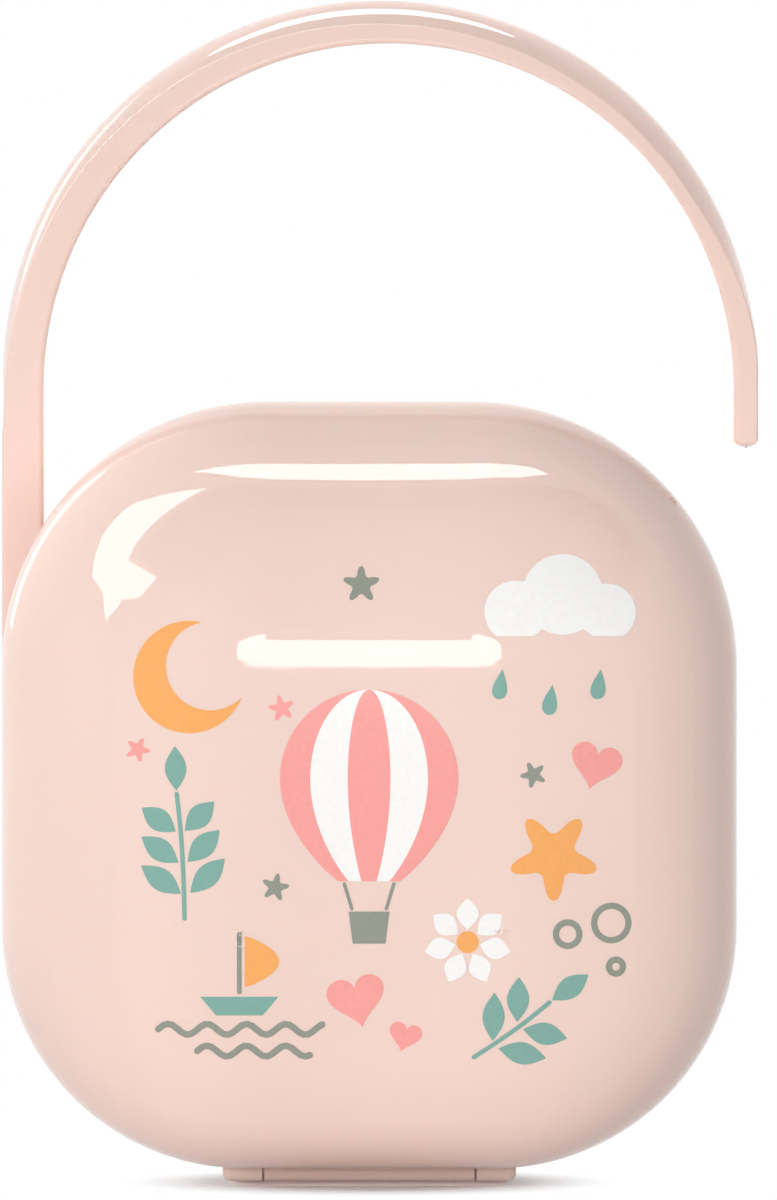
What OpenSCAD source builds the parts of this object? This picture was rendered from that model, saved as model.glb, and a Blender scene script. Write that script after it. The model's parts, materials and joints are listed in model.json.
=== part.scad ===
// Hanging steam-steriliser case for two soothers.
// A centre frame carries a hook handle and a foot. A domed cover closes each of its two sides,
// and hinges on the foot. A divider snaps into the frame, and a tray for one soother is pegged
// to each of its faces.
// The front of the case faces -Y, up is +Z, and the origin is the middle of the foot's sole.

/* [Case] */
// Width of the closed case
case_w = 95.3; // [88:0.1:104]
// Height of the closed case above its foot
case_h = 99.4; // [92:0.1:112]
// Radius of the two lower corners, seen from the front
corner_low_r = 31.5; // [28:0.5:34]
// Radius of the two upper corners, seen from the front
corner_top_r = 34.5; // [34.5:0.5:40]

/* [Cover] */
// Depth of a cover from its rim to the crown of its face
cover_d = 24; // [21:0.5:30]
// Wall thickness of a cover
cover_wall = 2; // [1.6:0.1:2.4]
// Radius of the edge round a cover's face
edge_r = 14; // [11:0.5:15]
// Angle through which that edge turns
edge_turn = 55; // [48:1:58]
// Radius of the shoulder between the edge and the crowned face
shoulder_r = 24; // [18:1:27]
// Angle through which the shoulder turns
shoulder_turn = 21; // [16:1:24]
// Width of the flange inside a cover's rim
rim_flange = 3.6; // [3.3:0.1:4.2]
// Depth of that flange
rim_flange_d = 2.4; // [1.6:0.1:4]
// Gap between a cover's rim and the frame
rim_gap = 0.3; // [0.3:0.05:0.6]

/* [Catch] */
// Width of the catch tongue at the top of a cover
tongue_w = 16; // [10:1:24]
// Thickness of the tongue
tongue_t = 1.6; // [1.2:0.1:2]
// Reach of the tongue past the cover's rim
tongue_reach = 4.8; // [4:0.1:5.2]
// Room between the tongue and the frame's flange
tongue_gap = 0.8; // [0.7:0.05:1]
// Height of the bead across the tongue's tip
bead_h = 0.3; // [0.2:0.05:0.35]
// Radius of the bead's round back
bead_r = 0.9; // [0.7:0.1:1]

/* [Frame] */
// Depth of the centre frame
frame_d = 18; // [17:0.5:24]
// Wall thickness of the frame's band
frame_wall = 2.2; // [1.8:0.1:2.6]
// Width of the flange round each face of the frame
frame_flange = 4.6; // [4.2:0.1:5.4]
// Depth of that flange
frame_flange_d = 2.4; // [1.8:0.1:3]
// Length of a vent slot in the top of the band
vent_len = 6; // [4:0.5:7]
// Width of a vent slot
vent_w = 1.8; // [1:0.1:2]
// Spacing of the vent slots
vent_pitch = 9; // [8:0.5:10]
// Radius of the thumb scoop's curve
scoop_r = 20; // [14:1:28]
// Depth of the thumb scoop below the top of the band
scoop_depth = 1.2; // [0.6:0.1:1.4]
// Reach of the thumb scoop inwards from each face
scoop_reach = 3.6; // [2:0.1:5]

/* [Divider] */
// Thickness of the divider between the two compartments
divider_t = 1.8; // [1.2:0.1:2.4]
// Gap between the divider's edge and the frame's flange
divider_gap = 0.2; // [0.1:0.05:0.3]
// Reach of the frame's ledge under the divider's edge
ledge_reach = 1.6; // [1:0.1:2.4]
// Thickness of that ledge
ledge_t = 0.8; // [0.6:0.1:0.9]
// Width of a snap nib that holds the divider on its ledge
nib_w = 6; // [3:0.5:7]
// Reach of a snap nib over the divider's edge
nib_reach = 0.6; // [0.4:0.1:0.9]
// Height of a snap nib
nib_h = 0.8; // [0.6:0.1:0.9]
// Sideways distance of the upper and lower nibs from the middle
nib_x = 5; // [4:0.5:5]
// Width of a steam slot in the divider
slot_w = 3; // [2:0.5:4]
// Length of a steam slot in the divider
slot_len = 15; // [10:1:18]
// Spacing of the steam slots
slot_pitch = 8; // [7:0.5:9]
// Number of steam slots in a row
slot_count = 5; // [3:2:5]

/* [Seal] */
// Distance of the seal groove from the case's outline
seal_inset = 2.2; // [2:0.1:2.3]
// Width of the seal groove
groove_w = 1; // [0.8:0.05:1]
// Depth of the seal groove
groove_d = 1; // [0.7:0.05:1.2]
// Clearance of the seal in its groove, on each side
seal_clear = 0.05; // [0.02:0.01:0.08]
// Height of the seal's lip above the face of the frame
lip_h = 0.2; // [0.1:0.05:0.2]
// Width of the seal's lip
lip_w = 0.5; // [0.3:0.05:0.6]

/* [Handle] */
// Width of the handle's strap, front to back
strap_w = 13; // [10:0.5:13]
// Thickness of the strap's leg at the side of the case
leg_t = 5.5; // [5:0.1:6]
// Sideways offset of the hook's centre from the middle of the case
hook_x = 2.55; // [0.5:0.05:4]
// Height of the hook's centre above the top of the case
hook_rise = 1.55; // [0:0.05:10]
// Thickness of the strap at the free tip
tip_t = 3.2; // [2.6:0.1:4.4]
// Length of the straight tip below the hook's centre
tip_drop = 7.2; // [4:0.1:14]
// Rise of the strap's crown at its crest
crown_h = 3.4; // [3.2:0.1:3.6]
// Mean depth of the crown's sharp edge below the outside of the strap
crown_side = 2.2; // [1.9:0.05:2.4]
// Sideways offset of the crown's centre from the hook's centre
crown_dx = -1.5; // [-1.7:0.05:-1.2]
// Upward offset of the crown's centre from the hook's centre
crown_dz = -0.7; // [-0.8:0.05:-0.5]
// Height of the lower end of the handle's leg
leg_z = 40; // [38:1:50]
// Clearance between the leg and its channel
leg_clear = 0.15; // [0.1:0.05:0.3]
// Thickness of the channel's inner wall
channel_wall = 2; // [1.6:0.1:2.6]
// Height of the lower pair of rivets
rivet_z = 47; // [45:0.5:55]
// Spacing of the two pairs of rivets
rivet_pitch = 16; // [10:0.5:20]
// Distance of a rivet from the middle of the strap
rivet_y = 3.7; // [3.6:0.1:4]
// Radius of a rivet's shank
rivet_r = 1.2; // [1:0.05:1.4]
// Radius of a rivet's head
rivet_head_r = 2.3; // [2:0.1:2.5]
// Height of a rivet's head
rivet_head_h = 1; // [0.8:0.1:1.4]
// Depth of a rivet in the leg
rivet_grip = 3.6; // [2.5:0.1:4.2]
// Clearance round a rivet or a peg
rivet_clear = 0.05; // [0.02:0.01:0.08]

/* [Foot] */
// Height of the foot
foot_h = 2.7; // [2.5:0.1:3]
// Width of the foot across its ends
foot_w = 38.2; // [34:0.2:44]
// Depth of the foot, front to back
foot_d = 17.6; // [14:0.2:17.8]
// Thickness of the soft pad under the foot
pad_t = 1; // [0.6:0.1:1.2]
// Distance of the foot's rivets from its middle
foot_rivet_x = 11; // [8:0.5:13]
// Distance of the foot's rivets from the middle of the frame's depth
foot_rivet_y = 4.2; // [4.1:0.1:4.4]

/* [Hinge] */
// Radius of the hinge knuckles
knuckle_r = 1.8; // [1.6:0.05:1.9]
// Distance of the hinge axis in front of the cover's rim
hinge_in = 2; // [2:0.05:2.4]
// Height of the hinge axis above the foot's sole
hinge_z = 2.6; // [2.4:0.05:2.7]
// Width of the middle knuckle, which belongs to the foot
mid_knuckle_w = 27.6; // [22:0.2:30]
// Gap between two knuckles
knuckle_gap = 0.3; // [0.2:0.05:0.5]
// Room round the middle knuckle in the cover
knuckle_room = 0.35; // [0.3:0.05:0.4]
// Radius of the rounding on the outer ends of the knuckles
knuckle_round = 1; // [0.5:0.1:1.2]
// Radius of a hinge pin
pin_r = 1; // [0.8:0.05:1.1]
// Running clearance of a pin in the middle knuckle
pin_run = 0.06; // [0.03:0.01:0.09]
// Clearance of a pin in the cover's own knuckles
pin_hold = 0.02; // [0.01:0.01:0.03]
// Depth of the pin's ends below the ends of the knuckles
pin_inset = 0.6; // [0.2:0.1:1]

/* [Tray] */
// Width of the tray's back plate
tray_w = 54; // [46:1:58]
// Height of the back plate
tray_h = 58; // [50:1:60]
// Height of the back plate's lower edge above the foot's sole
tray_z = 20; // [16:1:22]
// Corner radius of the back plate
tray_r = 8; // [4:1:12]
// Thickness of the tray's walls
tray_t = 1.6; // [1.2:0.1:2]
// Height of the shelf above the foot's sole
shelf_z = 37; // [34:1:39]
// Width of the shelf
shelf_w = 52; // [44:1:54]
// Reach of the shelf from the back plate
shelf_reach = 23; // [18:0.5:24]
// Radius of the shelf's front corners
shelf_r = 9; // [4:1:9]
// Width of the notch that a soother's ring hangs through
notch_w = 14; // [10:0.5:16]
// Reach of the notch from the shelf's front edge
notch_reach = 15; // [12:0.5:16]
// Height of the rail round the shelf
rail_h = 3; // [2:0.5:5]
// Thickness of that rail
rail_t = 1.4; // [1:0.1:2]
// Width of a drain slot in the shelf
drain_w = 2.2; // [1.5:0.1:2.6]
// Length of a drain slot
drain_len = 12; // [8:0.5:14]
// Spacing of the drain slots
drain_pitch = 4.6; // [4:0.1:5]
// Height of the brackets under the shelf
bracket_h = 12; // [8:0.5:14]
// Sideways distance of a bracket from the middle
bracket_x = 17; // [12:0.5:20]
// Width of the window in the back plate
window_w = 36; // [30:1:38]
// Height of the window
window_h = 22; // [16:1:24]
// Distance of the window above the shelf
window_rise = 9; // [7:0.5:10]
// Radius of a peg that holds the trays
peg_r = 1.5; // [1.2:0.1:2]
// Reach of a peg past the face of a tray
peg_proud = 1.2; // [0.8:0.1:2]
// Sideways distance of the pegs from the middle
peg_x = 23; // [20:0.5:23.5]
// Height of the lower pegs above the tray's lower edge
peg_low = 5; // [4:0.5:8]
// Distance of the upper pegs below the tray's upper edge
peg_top = 6; // [4:0.5:8]

/* [Hidden] */
$fn = 96;

shell_pink = [0.96, 0.84, 0.80];
frame_pink = [0.94, 0.81, 0.77];
foot_pink = [0.80, 0.68, 0.64];
silicone_white = [0.95, 0.93, 0.90];
tray_white = [0.97, 0.96, 0.94];

// Length by which a cutter runs past the face that it cuts
over = 1;

top_z = foot_h + case_h;
top_corner_x = case_w / 2 - corner_top_r;
top_corner_z = top_z - corner_top_r;
low_corner_x = case_w / 2 - corner_low_r;
low_corner_z = foot_h + corner_low_r;

// The cover's wall turns through three arcs that meet without a kink: edge, shoulder and crown.
edge_end = edge_turn;
shoulder_end = edge_turn + shoulder_turn;
face_reach = corner_low_r;
crown_reach = face_reach - edge_r * (1 - cos(edge_end))
    - shoulder_r * (cos(edge_end) - cos(shoulder_end));
crown_r = crown_reach / cos(shoulder_end);
rim_h = cover_d - edge_r * sin(edge_end)
    - shoulder_r * (sin(shoulder_end) - sin(edge_end))
    - crown_r * (1 - sin(shoulder_end));

frame_face = frame_d / 2;
cover_rim = frame_face + rim_gap;
divider_face = divider_t / 2;
frame_recess = frame_face - frame_flange_d;

// The handle's leg lies flush with the side of the case, and its inner face runs into the loop.
leg_outer_x = -case_w / 2;
leg_inner_x = leg_outer_x + leg_t;
hook_z = top_z + hook_rise;
loop_r = hook_x - leg_inner_x;
hook_left_r = hook_x - leg_outer_x;
hook_right_r = loop_r + tip_t;
crown_line_r = hook_left_r - crown_side;
hook_top_z = hook_z + hook_left_r;
hook_right_z = hook_top_z - hook_right_r;
tip_z = hook_z - tip_drop;
crown_x = hook_x + crown_dx;
crown_z = hook_z + crown_dz;
crown_arc_r = (pow(strap_w / 2, 2) + pow(crown_h, 2)) / (2 * crown_h);
channel_x = leg_inner_x + leg_clear;
channel_face_x = channel_x + channel_wall;
channel_y = strap_w / 2 + leg_clear;

hinge_y = cover_rim + hinge_in;
mid_half = (mid_knuckle_w - knuckle_gap) / 2;
end_start = (mid_knuckle_w + knuckle_gap) / 2;
knuckle_end = foot_w / 2;

flange_under_z = top_z - frame_flange;
tray_face = divider_face + tray_t;

// ---- Outlines, seen from the front ----

// A quarter of a disc, turned by an angle
module quarter(r, turn) {
    rotate(turn)
        intersection() {
            circle(r);
            square(r);
        }
}

// The case's outline, moved inwards by an inset
module outline(inset) {
    low_r = corner_low_r - inset;
    top_r = corner_top_r - inset;
    for (side = [-1, 1]) {
        translate([side * top_corner_x, top_corner_z])
            quarter(top_r, side > 0 ? 0 : 90);
        translate([side * low_corner_x, low_corner_z])
            quarter(low_r, side > 0 ? 270 : 180);
    }
    translate([-top_corner_x, top_corner_z])
        square([2 * top_corner_x, top_r]);
    translate([-low_corner_x, low_corner_z - low_r])
        square([2 * low_corner_x, low_r]);
    translate([inset - case_w / 2, low_corner_z])
        square([case_w - 2 * inset, top_corner_z - low_corner_z]);
}

// A band between two insets of the outline
module outline_band(outer_inset, inner_inset) {
    difference() {
        outline(outer_inset);
        outline(inner_inset);
    }
}

// Turns an outline seen from the front into a slab between two depths
module slab(y0, y1) {
    translate([0, y1, 0])
        rotate([90, 0, 0])
            linear_extrude(y1 - y0)
                children();
}

// The same thing on the front and, mirrored, on the rear
module both_faces() {
    children();
    mirror([0, 1, 0])
        children();
}

// A cylinder along X between two places
module bar_x(r, x0, x1) {
    translate([x0, 0, 0])
        rotate([0, 90, 0])
            cylinder(r = r, h = x1 - x0);
}

// A slot with round ends, lying along its first size
module slot_outline(len, w) {
    square([len - w, w], center = true);
    for (side = [-1, 1])
        translate([side * (len - w) / 2, 0])
            circle(d = w);
}

// A rectangle with round corners, standing on y = 0
module round_plate(w, h, r) {
    translate([-w / 2 + r, 0])
        square([w - 2 * r, h]);
    translate([-w / 2, r])
        square([w, h - 2 * r]);
    for (x = [r - w / 2, w / 2 - r], y = [r, h - r])
        translate([x, y])
            circle(r);
}

// ---- Cover ----

// A direction in the plane of a section
function heading(angle) = [cos(angle), sin(angle)];

// A slice of a disc between two angles
module sector(r, from, to) {
    intersection() {
        circle(r);
        polygon([[0, 0], 2 * r * heading(from), 2 * r * heading(to)]);
    }
}

// The cover's filled half section, moved inwards by an inset: across from the centre
// of a corner, up from its base. Chords fill it, and sectors round it where it curves.
module dome_profile(corner_r, inset, base) {
    edge_c = [corner_r - edge_r, rim_h];
    shoulder_c = edge_c + (edge_r - shoulder_r) * heading(edge_end);
    crown_c = [corner_r - face_reach, cover_d - crown_r];
    flat_end = corner_r > face_reach ? [[0, cover_d - inset]] : [];
    intersection() {
        union() {
            polygon(concat([
                [0, base],
                [corner_r - inset, base],
                [corner_r - inset, rim_h],
                edge_c + (edge_r - inset) * heading(edge_end),
                shoulder_c + (shoulder_r - inset) * heading(shoulder_end),
                [corner_r - face_reach, cover_d - inset]
            ], flat_end));
            translate(edge_c)
                sector(edge_r - inset, 0, edge_end);
            translate(shoulder_c)
                sector(shoulder_r - inset, edge_end, shoulder_end);
            translate(crown_c)
                sector(crown_r - inset, shoulder_end, 90);
        }
        translate([0, base])
            square([corner_r, cover_d + over - base]);
    }
}

// The cover's wall in section, with the flange inside its rim
module cover_section(corner_r) {
    difference() {
        dome_profile(corner_r, 0, 0);
        dome_profile(corner_r, cover_wall, -over);
    }
    translate([corner_r - rim_flange, 0])
        square([rim_flange, rim_flange_d]);
}

// The section carried once round the case and closed by the flat middle of the face
module cover_shell() {
    for (side = [-1, 1]) {
        translate([side * top_corner_x, top_corner_z, 0])
            rotate(side > 0 ? 0 : 90)
                rotate_extrude(angle = 90)
                    cover_section(corner_top_r);
        translate([side * low_corner_x, low_corner_z, 0])
            rotate(side > 0 ? 270 : 180)
                rotate_extrude(angle = 90)
                    cover_section(corner_low_r);
        mirror([side > 0 ? 0 : 1, 0, 0])
            translate([top_corner_x, top_corner_z, 0])
                rotate([90, 0, 0])
                    linear_extrude(top_corner_z - low_corner_z)
                        cover_section(corner_top_r);
    }
    translate([-top_corner_x, top_corner_z, 0])
        rotate([90, 0, 90])
            linear_extrude(2 * top_corner_x)
                cover_section(corner_top_r);
    translate([-low_corner_x, low_corner_z, 0])
        mirror([0, 1, 0])
            rotate([90, 0, 90])
                linear_extrude(2 * low_corner_x)
                    cover_section(corner_low_r);
    translate([-top_corner_x, low_corner_z, cover_d - cover_wall])
        cube([2 * top_corner_x, top_corner_z - low_corner_z, cover_wall]);
}

// A knuckle at each end of the hinge, with its outer end rounded
module end_knuckle() {
    rotate([0, 90, 0])
        rotate_extrude() {
            translate([0, end_start])
                square([knuckle_r, knuckle_end - knuckle_round - end_start]);
            translate([0, knuckle_end - knuckle_round])
                square([knuckle_r - knuckle_round, knuckle_round]);
            translate([knuckle_r - knuckle_round, knuckle_end - knuckle_round])
                quarter(knuckle_round, 0);
        }
}

// Room for the foot's knuckle: round the axis, and back out through the rim
module knuckle_pocket() {
    room_r = knuckle_r + knuckle_room;
    translate([0, -hinge_y, hinge_z])
        bar_x(room_r, -end_start, end_start);
    translate([-end_start, -hinge_y, -over])
        cube([2 * end_start, hinge_in + over, hinge_z + room_r + over]);
    translate([-end_start, -hinge_y - room_r, -over])
        cube([2 * end_start, room_r + over, hinge_z + over]);
}

// The land that closes the inside of the wall above the hinge
module hinge_land() {
    land_top = foot_h + rim_flange;
    land_d = hinge_in + knuckle_r + knuckle_room + cover_wall;
    translate([-knuckle_end, -cover_rim - land_d, foot_h + cover_wall / 2])
        cube([2 * knuckle_end, land_d, land_top - foot_h - cover_wall / 2]);
}

// The tongue that reaches into the frame under its top flange
module catch_tongue() {
    tongue_top = flange_under_z - tongue_gap;
    root_d = rim_flange_d + cover_wall;
    translate([-tongue_w / 2, -cover_rim - root_d, tongue_top - tongue_t])
        cube([tongue_w, root_d, top_z - cover_wall / 2 - tongue_top + tongue_t]);
    translate([-tongue_w / 2, -cover_rim - root_d, tongue_top - tongue_t])
        cube([tongue_w, root_d + tongue_reach, tongue_t]);
    translate([0, -cover_rim + tongue_reach - bead_r, tongue_top + bead_h - bead_r])
        bar_x(bead_r, -tongue_w / 2, tongue_w / 2);
}

module cover() {
    difference() {
        union() {
            translate([0, -cover_rim, 0])
                rotate([90, 0, 0])
                    cover_shell();
            hinge_land();
            catch_tongue();
            for (m = [0, 1])
                mirror([m, 0, 0])
                    translate([0, -hinge_y, hinge_z])
                        end_knuckle();
        }
        knuckle_pocket();
        translate([0, -hinge_y, hinge_z])
            bar_x(pin_r + pin_hold, -knuckle_end - over, knuckle_end + over);
    }
}

module front_cover() {
    color(shell_pink)
        cover();
}

module rear_cover() {
    color(shell_pink)
        mirror([0, 1, 0])
            cover();
}

// ---- Hinge pins ----

module hinge_pin() {
    half = knuckle_end - pin_inset;
    translate([0, -hinge_y, hinge_z])
        bar_x(pin_r, -half, half);
}

module front_hinge_pin() {
    color(tray_white)
        hinge_pin();
}

module rear_hinge_pin() {
    color(tray_white)
        mirror([0, 1, 0])
            hinge_pin();
}

// ---- Centre frame ----

// The block in the left wall that holds the handle's leg
module channel_housing() {
    translate([leg_outer_x - over, leg_z - channel_wall])
        square([channel_face_x - leg_outer_x + over, top_z - leg_z]);
}

// The hollow of one compartment inside the frame, clear of the handle's channel
module compartment(inset) {
    difference() {
        outline(inset);
        channel_housing();
    }
}

// The ledge round the inside of the band, which the divider lies on
module ledge() {
    slab(divider_face, divider_face + ledge_t)
        outline_band(frame_wall / 2, frame_flange + divider_gap + ledge_reach);
}

// A snap nib that reaches from a wall along +X: flat towards the divider, ramped in front
module nib(reach) {
    translate([0, 0, -nib_w / 2])
        linear_extrude(nib_w)
            polygon([
                [-frame_wall / 2, -divider_face - rivet_clear],
                [reach, -divider_face - rivet_clear],
                [reach - nib_reach, -divider_face - nib_h],
                [-frame_wall / 2, -divider_face - nib_h]
            ]);
}

// Six nibs: one beside the handle's channel, one across from it, two above and two below
module nibs() {
    side_z = rivet_z + rivet_pitch / 2;
    edge_reach = frame_flange - frame_wall + divider_gap + nib_reach;
    translate([channel_face_x, 0, side_z])
        nib(divider_gap + nib_reach);
    translate([case_w / 2 - frame_wall, 0, side_z])
        mirror([1, 0, 0])
            nib(edge_reach);
    for (x = [-nib_x, nib_x]) {
        translate([x, 0, top_z - frame_wall])
            rotate([0, 90, 0])
                nib(edge_reach);
        translate([x, 0, foot_h + frame_wall])
            rotate([0, -90, 0])
                nib(edge_reach);
    }
}

// Steam slots through the divider, in two rows above and below the shelf
module steam_slots() {
    row_w = (slot_count - 1) * slot_pitch;
    for (x = [-row_w / 2 : slot_pitch : row_w / 2])
        for (z = [shelf_z + window_rise + window_h / 2, low_corner_z - slot_len])
            translate([x, z])
                rotate(90)
                    slot_outline(slot_len, slot_w);
}

// Vents through the top of the band, one row for each compartment
module vent_row() {
    vent_y = (divider_face + frame_recess) / 2;
    for (x = [-vent_pitch, 0, vent_pitch])
        translate([x, -vent_y, top_z - frame_wall - over])
            linear_extrude(frame_wall + 2 * over)
                slot_outline(vent_len, vent_w);
}

// The scoop that lets a thumb push a cover's rim
module thumb_scoop() {
    translate([0, -frame_face - over, top_z - scoop_depth + scoop_r])
        rotate([-90, 0, 0])
            cylinder(r = scoop_r, h = scoop_reach + over);
}

// Places of the four rivets that hold the handle
module handle_rivet_places() {
    for (z = [rivet_z, rivet_z + rivet_pitch], y = [-rivet_y, rivet_y])
        translate([channel_face_x, y, z])
            children();
}

// Places of the four rivets that hold the foot
module foot_rivet_places() {
    for (x = [-foot_rivet_x, foot_rivet_x], y = [-foot_rivet_y, foot_rivet_y])
        translate([x, y, foot_h + frame_wall])
            rotate([0, -90, 0])
                children();
}

// Places of the four pegs that hold the trays
module peg_places() {
    for (x = [-peg_x, peg_x], z = [tray_z + peg_low, tray_z + tray_h - peg_top])
        translate([x, 0, z])
            children();
}

// A peg through the divider, with a tapered nose at both ends
module tray_peg() {
    half = tray_face + peg_proud;
    nose = peg_proud / 2;
    rotate([90, 0, 0])
        translate([0, 0, nose - half])
            cylinder(r = peg_r, h = 2 * (half - nose));
    both_faces()
        rotate([90, 0, 0])
            translate([0, 0, half - nose])
                cylinder(r1 = peg_r, r2 = peg_r - nose, h = nose);
}

module centre_frame() {
    color(frame_pink)
        difference() {
            union() {
                difference() {
                    slab(-frame_face, frame_face)
                        outline(0);
                    slab(-frame_face - over, frame_face + over)
                        compartment(frame_flange);
                    slab(-frame_recess, frame_recess)
                        compartment(frame_wall);
                }
                ledge();
                nibs();
            }
            both_faces() {
                slab(-frame_face - over, -frame_face + groove_d)
                    outline_band(seal_inset, seal_inset + groove_w);
                vent_row();
                thumb_scoop();
            }
            translate([leg_outer_x - over, -channel_y, leg_z - leg_clear])
                cube([channel_x - leg_outer_x + over, 2 * channel_y, top_z - leg_z]);
            handle_rivet_places()
                bar_x(rivet_r + rivet_clear, -channel_wall - over, over);
            foot_rivet_places()
                bar_x(rivet_r + rivet_clear, -frame_wall - over, over);
        }
}

// ---- Divider ----

// The divider passes through the frame's flange and beside the handle's channel
module divider_outline() {
    difference() {
        outline(frame_flange + divider_gap);
        translate([leg_outer_x, leg_z - channel_wall - divider_gap])
            square([channel_face_x - leg_outer_x + divider_gap, top_z]);
    }
}

module divider() {
    color(frame_pink)
        difference() {
            union() {
                slab(-divider_face, divider_face)
                    divider_outline();
                peg_places()
                    tray_peg();
            }
            slab(-divider_face - over, divider_face + over)
                steam_slots();
        }
}

// ---- Seals ----

module seal() {
    lip_inset = seal_inset + (groove_w - lip_w) / 2;
    slab(-frame_face, -frame_face + groove_d)
        outline_band(seal_inset + seal_clear, seal_inset + groove_w - seal_clear);
    slab(-frame_face - lip_h, -frame_face)
        outline_band(lip_inset, lip_inset + lip_w);
}

module front_seal() {
    color(silicone_white)
        seal();
}

module rear_seal() {
    color(silicone_white)
        mirror([0, 1, 0])
            seal();
}

// ---- Handle ----

// The hook's outline: a straight leg, two outer arcs round the loop, and a straight tip
module hook_outline() {
    difference() {
        union() {
            translate([leg_outer_x, leg_z])
                square([leg_inner_x - leg_outer_x, hook_z - leg_z]);
            translate([hook_x, hook_z])
                quarter(hook_left_r, 90);
            translate([hook_x, hook_right_z])
                quarter(hook_right_r, 0);
            translate([hook_x, hook_z])
                square([hook_right_r, hook_right_z - hook_z]);
            translate([hook_x + loop_r, tip_z + tip_t / 2])
                square([tip_t, hook_z - tip_z - tip_t / 2]);
            translate([hook_x + loop_r + tip_t / 2, tip_z + tip_t / 2])
                circle(tip_t / 2);
        }
        translate([hook_x, hook_z])
            circle(loop_r);
    }
}

// Half of the strap's section, from the crown's centre outwards
module crown_half() {
    translate([0, -strap_w / 2])
        square([crown_line_r, strap_w]);
    translate([crown_line_r + crown_h - crown_arc_r, 0])
        intersection() {
            circle(crown_arc_r);
            translate([0, -strap_w / 2])
                square([crown_arc_r, strap_w]);
        }
}

// The crowned space that the strap is cut from: a barrel, and its straight sides below
module crown_space() {
    translate([crown_x, 0, crown_z]) {
        rotate([90, 0, 0])
            rotate_extrude(angle = 180)
                crown_half();
        for (side = [0, 1])
            mirror([side, 0, 0])
                translate([0, 0, leg_z - over - crown_z])
                    linear_extrude(crown_z - leg_z + over)
                        crown_half();
    }
}

module carry_handle() {
    color(shell_pink)
        difference() {
            intersection() {
                slab(-strap_w / 2, strap_w / 2)
                    hook_outline();
                crown_space();
            }
            handle_rivet_places()
                bar_x(rivet_r + rivet_clear, -channel_wall - rivet_grip - leg_clear, over);
        }
}

// A push rivet along X, with the underside of its domed head at x = 0
module push_rivet(grip) {
    dome_r = (pow(rivet_head_r, 2) + pow(rivet_head_h, 2)) / (2 * rivet_head_h);
    rotate([0, 90, 0])
        rotate_extrude() {
            translate([0, -grip])
                square([rivet_r, grip + rivet_head_h / 2]);
            intersection() {
                translate([0, rivet_head_h - dome_r])
                    circle(dome_r);
                square([rivet_head_r, rivet_head_h]);
            }
        }
}

module handle_rivets() {
    color(frame_pink)
        handle_rivet_places()
            push_rivet(channel_wall + rivet_grip);
}

// ---- Foot ----

// The foot seen from the front, with its lower corners rounded over its full height
module foot_outline() {
    flat_half = foot_w / 2 - foot_h;
    translate([-flat_half, 0])
        square([2 * flat_half, foot_h]);
    for (side = [-1, 1])
        translate([side * flat_half, foot_h])
            quarter(foot_h, side > 0 ? 270 : 180);
}

module hinge_foot() {
    color(foot_pink)
        difference() {
            union() {
                slab(-foot_d / 2, foot_d / 2)
                    intersection() {
                        foot_outline();
                        translate([-foot_w / 2, pad_t])
                            square([foot_w, foot_h]);
                    }
                both_faces() {
                    translate([0, -hinge_y, hinge_z])
                        bar_x(knuckle_r, -mid_half, mid_half);
                    translate([-mid_half, -hinge_y, pad_t])
                        cube([2 * mid_half, hinge_y, hinge_z - pad_t]);
                }
            }
            both_faces()
                translate([0, -hinge_y, hinge_z])
                    bar_x(pin_r + pin_run, -mid_half - over, mid_half + over);
            foot_rivet_places()
                bar_x(rivet_r + rivet_clear, -foot_h - frame_wall - over, over);
        }
}

module foot_rivets() {
    color(frame_pink)
        foot_rivet_places()
            push_rivet(frame_wall + foot_h - pad_t);
}

module foot_pad() {
    color(foot_pink)
        slab(-foot_d / 2, foot_d / 2)
            intersection() {
                foot_outline();
                translate([-foot_w / 2, 0])
                    square([foot_w, pad_t]);
            }
}

// ---- Trays ----

// Seen from above: the shelf with its notch and drain slots, from the back plate forwards
module shelf_outline() {
    difference() {
        union() {
            round_plate(shelf_w, shelf_reach, shelf_r);
            translate([-shelf_w / 2, shelf_reach / 2])
                square([shelf_w, shelf_reach / 2]);
        }
        notch();
        drains();
    }
}

module notch() {
    notch_end = notch_reach - notch_w / 2;
    translate([-notch_w / 2, -over])
        square([notch_w, notch_end + over]);
    translate([0, notch_end])
        circle(d = notch_w);
}

module drains() {
    first = notch_w / 2 + drain_pitch / 2 + rail_t;
    for (side = [-1, 1], i = [0 : 2])
        translate([side * (first + i * drain_pitch), shelf_reach / 2])
            rotate(90)
                slot_outline(drain_len, drain_w);
}

// The rail along the shelf's sides and front, open at the notch
module rail_outline() {
    difference() {
        round_plate(shelf_w, 2 * shelf_reach, shelf_r);
        translate([0, rail_t])
            round_plate(shelf_w - 2 * rail_t, 2 * shelf_reach, shelf_r - rail_t);
        translate([-shelf_w / 2 - over, shelf_reach])
            square([shelf_w + 2 * over, 2 * shelf_reach]);
        notch();
    }
}

// A triangular bracket under the shelf
module bracket() {
    translate([bracket_x - tray_t / 2, 0, shelf_z])
        rotate([90, 0, 90])
            linear_extrude(tray_t)
                polygon([
                    [-tray_face, 0],
                    [-tray_face, -bracket_h],
                    [-tray_face - tray_t, -bracket_h],
                    [-tray_face - shelf_reach + shelf_r, 0]
                ]);
}

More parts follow.
